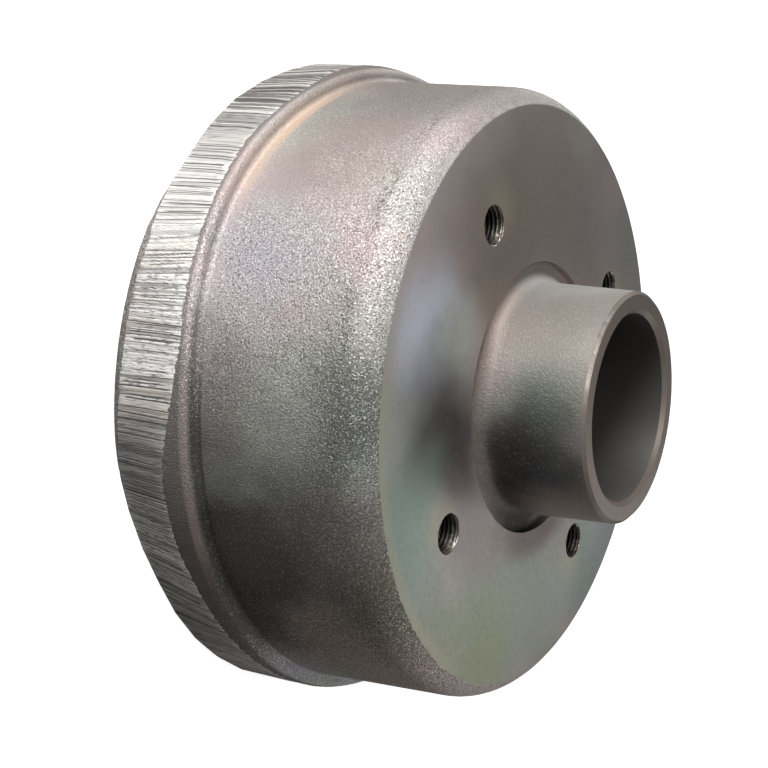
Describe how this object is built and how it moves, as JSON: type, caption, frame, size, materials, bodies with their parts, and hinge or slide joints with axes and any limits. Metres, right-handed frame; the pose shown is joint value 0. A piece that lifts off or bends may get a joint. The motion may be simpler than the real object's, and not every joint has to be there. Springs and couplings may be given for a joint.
{
  "type": "trailer hub brake drum",
  "caption": "Cast-iron hub brake drum with a raised rim, tapped wheel-bolt holes and a bored hub nose.",
  "frame": {"origin": "on the drum's axis, in the plane of its open rim", "axes": "+Z along the axis from the open rim to the hub nose; the tapped holes lie on the diagonals between X and Y"},
  "size_m": [0.1941, 0.1958, 0.1013],
  "materials": {
    "cast_iron": "raw grey casting with a fine grain, turned faces with a dull phosphate film, and a bright hand-ground rim"
  },
  "bodies": {
    "root": {"brake_drum": "cast_iron"}
  },
  "joints": []
}
